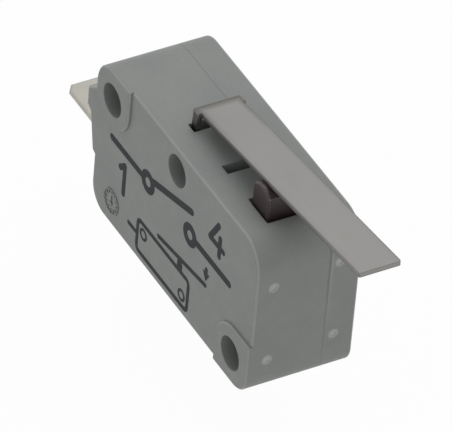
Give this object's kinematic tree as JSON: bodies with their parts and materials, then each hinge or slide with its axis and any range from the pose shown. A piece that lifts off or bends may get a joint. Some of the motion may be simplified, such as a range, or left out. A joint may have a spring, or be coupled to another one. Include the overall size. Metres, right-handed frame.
{
  "type": "dispenser switch",
  "caption": "Miniature snap-action switch with a hinged flat lever over a plunger, two quick-connect tabs and two diagonal mounting holes.",
  "frame": {"origin": "centre of the lower mounting hole, at mid thickness of the case", "axes": "+X along the case towards the lever's free end, +Y through the case from the front panel to the back, +Z out of the lever side"},
  "size_m": [0.0483, 0.0104, 0.0286],
  "materials": {
    "case_plastic": "moulded glass-filled polyester, light grey, matt",
    "plunger_plastic": "moulded phenolic, dark red-brown",
    "lever_steel": "rolled stainless strip, satin",
    "terminal_plate": "brass strip, tin plated, satin",
    "arm_copper": "beryllium copper strip, bright rolled",
    "contact_gold": "gold-clad contact bar, bright",
    "spring_wire": "drawn spring steel wire"
  },
  "bodies": {
    "case": {"housing": "case_plastic", "cover": "case_plastic", "com_terminal": "terminal_plate", "no_terminal": "terminal_plate", "fixed_contact": "contact_gold", "snap_spring": "spring_wire"},
    "lever": {"lever": "lever_steel"},
    "plunger": {"plunger": "plunger_plastic"},
    "contact_arm": {"moving_arm": "arm_copper", "moving_contact": "contact_gold"}
  },
  "joints": [
    {"name": "lever_hinge", "type": "hinge", "parent": "case", "child": "lever", "pos_m": [-0.01345, 0, 0.0122], "axis": [0, 1, 0], "range_deg": [0, 7], "stiffness_Nm_per_rad": 0.02, "springref_deg": -8.59},
    {"name": "plunger_slide", "type": "slide", "parent": "case", "child": "plunger", "axis": [0, 0, -1], "range_m": [0, 0.00142]},
    {"name": "arm_pivot", "type": "hinge", "parent": "case", "child": "contact_arm", "pos_m": [-0.01773, 0, 0.0062], "axis": [0, 1, 0], "range_deg": [0, 5.14], "deforming": ["snap_spring"]}
  ],
  "couplings": [
    {"joint": "plunger_slide", "follows": "lever_hinge", "m_per_rad": 0.011613},
    {"joint": "arm_pivot", "follows": "lever_hinge", "ratio": 0.7336}
  ]
}
